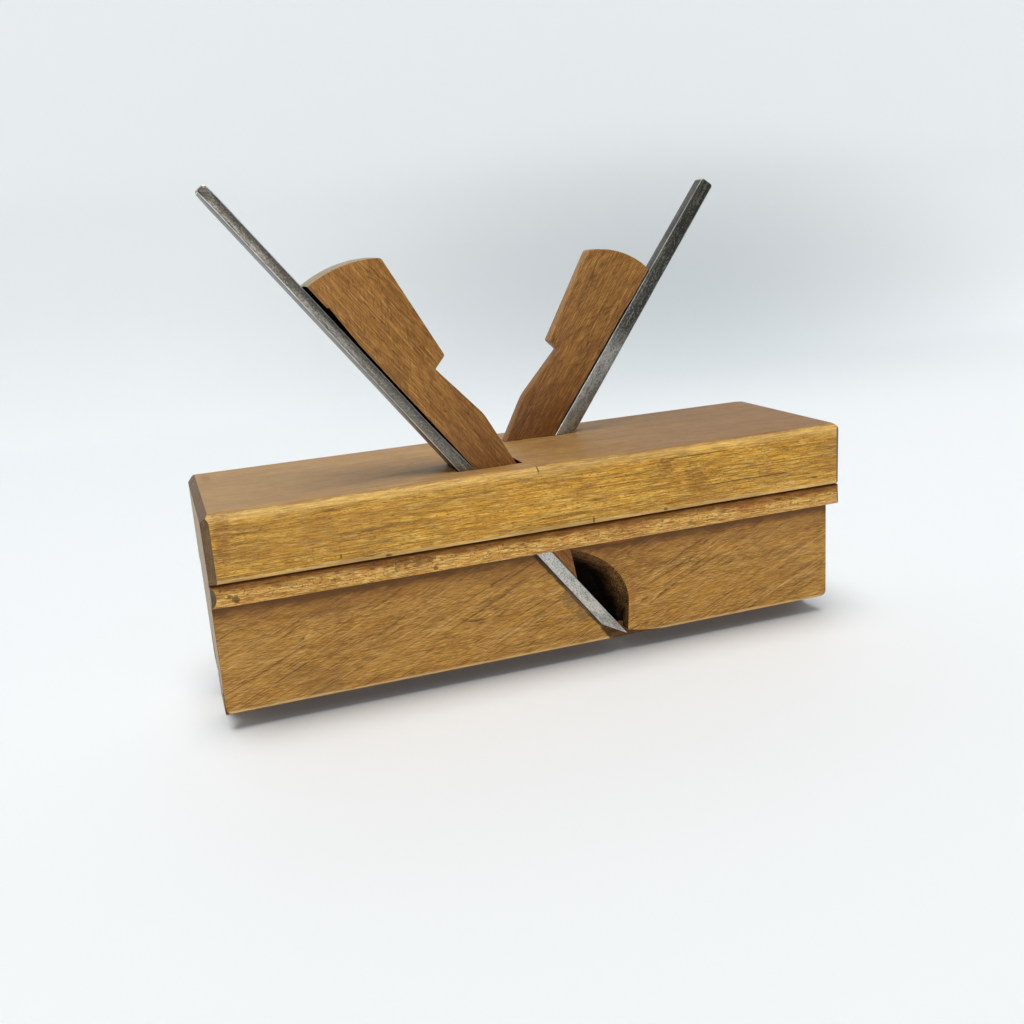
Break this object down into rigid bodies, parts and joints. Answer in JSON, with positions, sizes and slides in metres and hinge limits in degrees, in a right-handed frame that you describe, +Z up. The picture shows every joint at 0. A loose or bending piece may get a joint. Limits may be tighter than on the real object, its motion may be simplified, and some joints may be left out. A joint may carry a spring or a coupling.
{
  "type": "tongue and groove plane",
  "caption": "Wooden joinery plane with an upright steel blade and wedge leaning each way, a moulded stock, a central fence under it and side shaving escapements.",
  "frame": {"origin": "middle of the fence's lower face, halfway along the stock", "axes": "+X along the stock towards the front of the tongue side's stroke, +Y across it towards the groove side, +Z up from the fence to the top"},
  "size_m": [0.24, 0.0732, 0.1813],
  "materials": {
    "stock": "worn oiled beech",
    "tongue_iron": "dull forged",
    "groove_iron": "dark forged, pitted",
    "tongue_wedge": "worn oiled beech",
    "groove_wedge": "worn oiled beech",
    "skate": "worn",
    "screws": "worn"
  },
  "bodies": {
    "stock": {"stock": "stock", "front_skate": "skate", "rear_skate": "skate", "skate_screws": "screws"},
    "tongue_iron": {"tongue_iron": "tongue_iron"},
    "groove_iron": {"groove_iron": "groove_iron"},
    "tongue_wedge": {"tongue_wedge": "tongue_wedge"},
    "groove_wedge": {"groove_wedge": "groove_wedge"}
  },
  "joints": [
    {"name": "tongue_wedge_slide", "type": "slide", "parent": "stock", "child": "tongue_wedge", "axis": [-0.6088, 0, 0.7934], "range_m": [0, 0.07]},
    {"name": "tongue_iron_slide", "type": "slide", "parent": "stock", "child": "tongue_iron", "axis": [-0.6088, 0, 0.7934], "range_m": [0, 0.1]},
    {"name": "groove_wedge_slide", "type": "slide", "parent": "stock", "child": "groove_wedge", "axis": [0.585, 0, 0.8111], "range_m": [0, 0.075]},
    {"name": "groove_iron_slide", "type": "slide", "parent": "stock", "child": "groove_iron", "axis": [0.585, 0, 0.8111], "range_m": [0, 0.105]}
  ]
}
